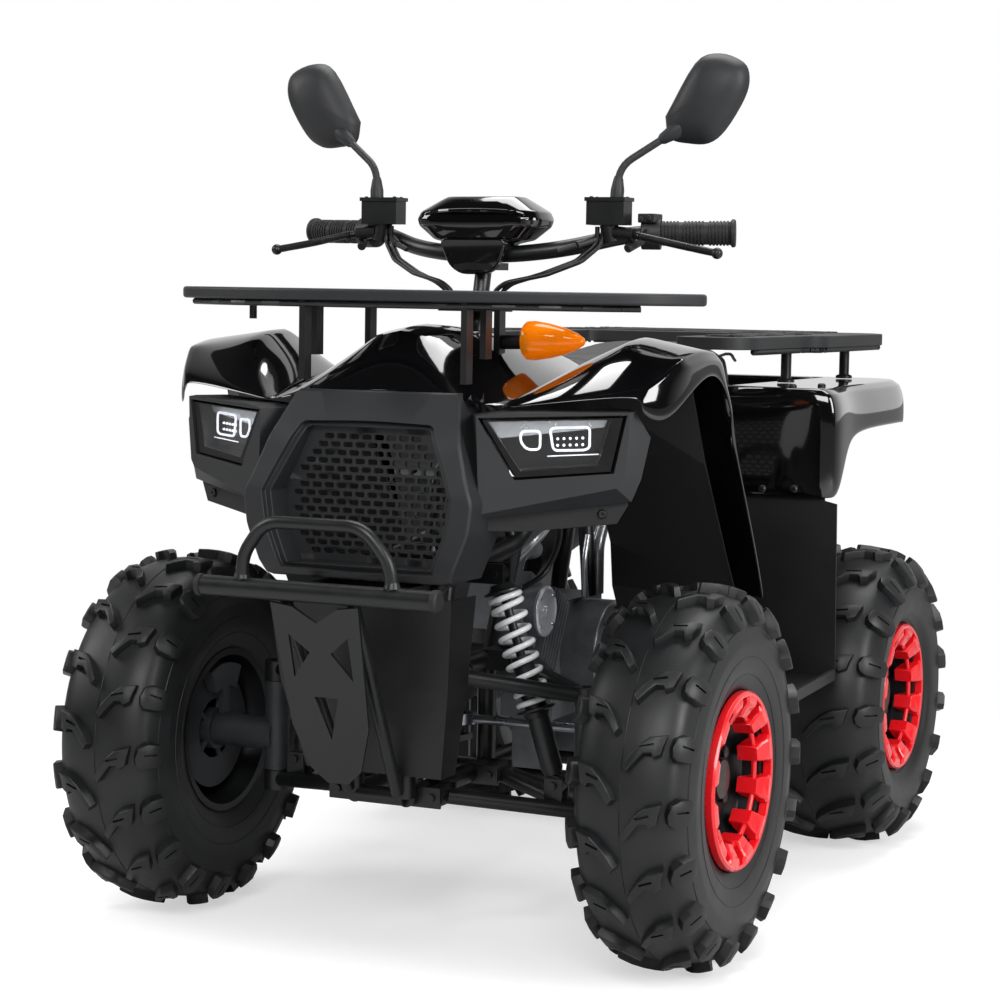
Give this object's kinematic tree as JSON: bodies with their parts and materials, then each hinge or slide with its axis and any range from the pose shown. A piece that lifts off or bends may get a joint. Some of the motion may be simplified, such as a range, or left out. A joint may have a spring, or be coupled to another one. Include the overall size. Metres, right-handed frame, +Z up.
{
  "type": "quad bike",
  "caption": "Small quad bike with a tubular frame, moulded body, front and rear racks, steered front wheels and a chain-driven rear axle.",
  "frame": {"origin": "on the ground under the middle of the machine", "axes": "front faces -Y, the rider's left is +X, +Z up"},
  "size_m": [0.869, 1.45, 1.145],
  "materials": {
    "tyre": "matt",
    "rim_red": "satin",
    "black_steel": "satin",
    "dark_cast": "rough",
    "white_steel": "gloss",
    "bright_steel": "satin",
    "engine_alloy": "cast",
    "exhaust_steel": "matt",
    "grip_rubber": "ribbed",
    "black_alloy": "satin",
    "matte_black": "matt",
    "gloss_black": "gloss",
    "cable_rubber": "satin",
    "lamp_clear": "gloss",
    "seat_cover": "grained",
    "rack_black": "satin",
    "amber": "gloss"
  },
  "bodies": {
    "chassis": {"front_arms": "black_steel", "dampers": "black_steel", "coil_springs": "white_steel", "frame": "black_steel", "swingarm": "black_steel", "drive_chain": "bright_steel", "engine": "engine_alloy", "exhaust": "exhaust_steel", "front_bumper": "black_steel", "skid_plate": "black_steel", "grille_surround": "matte_black", "grille_mesh": "matte_black", "front_cowl": "matte_black", "headlights": "lamp_clear", "chin_guard": "matte_black", "hood": "gloss_black", "front_fenders": "gloss_black", "arch_liners": "matte_black", "footwells": "matte_black", "rear_fender": "gloss_black", "seat": "seat_cover", "front_rack": "rack_black", "rear_rack": "rack_black", "signal_lamps": "amber"},
    "steering": {"steering_column": "black_steel", "handlebar": "black_steel", "grips": "grip_rubber", "controls": "black_alloy", "mirrors": "matte_black", "dash_pod": "gloss_black", "cables": "cable_rubber"},
    "knuckle_left": {"knuckle_left": "dark_cast"},
    "knuckle_right": {"knuckle_right": "dark_cast"},
    "wheel_front_left": {"tyre_front_left": "tyre", "rim_front_left": "rim_red"},
    "wheel_front_right": {"tyre_front_right": "tyre", "rim_front_right": "rim_red"},
    "tie_rod_left": {"tie_rod_left": "bright_steel"},
    "tie_rod_right": {"tie_rod_right": "bright_steel"},
    "rear_axle": {"rear_axle": "bright_steel", "tyre_rear_left": "tyre", "tyre_rear_right": "tyre", "rim_rear_left": "rim_red", "rim_rear_right": "rim_red"}
  },
  "joints": [
    {"name": "steering", "type": "hinge", "parent": "chassis", "child": "steering", "pos_m": [0, -0.408, 0.232], "axis": [0, 0.2311, 0.9729], "range_deg": [-35, 35]},
    {"name": "steer_left", "type": "hinge", "parent": "chassis", "child": "knuckle_left", "pos_m": [0.224, -0.408, 0.241], "axis": [0, 0, 1], "range_deg": [-35, 35]},
    {"name": "steer_right", "type": "hinge", "parent": "chassis", "child": "knuckle_right", "pos_m": [-0.224, -0.408, 0.241], "axis": [0, 0, 1], "range_deg": [-35, 35]},
    {"name": "spin_front_left", "type": "hinge", "parent": "knuckle_left", "child": "wheel_front_left", "pos_m": [0.3605, -0.408, 0.241], "axis": [1, 0, 0], "continuous": true},
    {"name": "spin_front_right", "type": "hinge", "parent": "knuckle_right", "child": "wheel_front_right", "pos_m": [-0.3605, -0.408, 0.241], "axis": [1, 0, 0], "continuous": true},
    {"name": "link_left", "type": "hinge", "parent": "knuckle_left", "child": "tie_rod_left", "pos_m": [0.244, -0.345, 0.275], "axis": [0, 0, 1], "range_deg": [-35, 35]},
    {"name": "link_right", "type": "hinge", "parent": "knuckle_right", "child": "tie_rod_right", "pos_m": [-0.244, -0.345, 0.275], "axis": [0, 0, 1], "range_deg": [-35, 35]},
    {"name": "spin_rear", "type": "hinge", "parent": "chassis", "child": "rear_axle", "pos_m": [0, 0.408, 0.228], "axis": [1, 0, 0], "continuous": true}
  ],
  "couplings": [
    {"joint": "steer_left", "follows": "steering", "ratio": 1},
    {"joint": "steer_right", "follows": "steering", "ratio": 1},
    {"joint": "link_left", "follows": "steering", "ratio": -1},
    {"joint": "link_right", "follows": "steering", "ratio": -1}
  ]
}
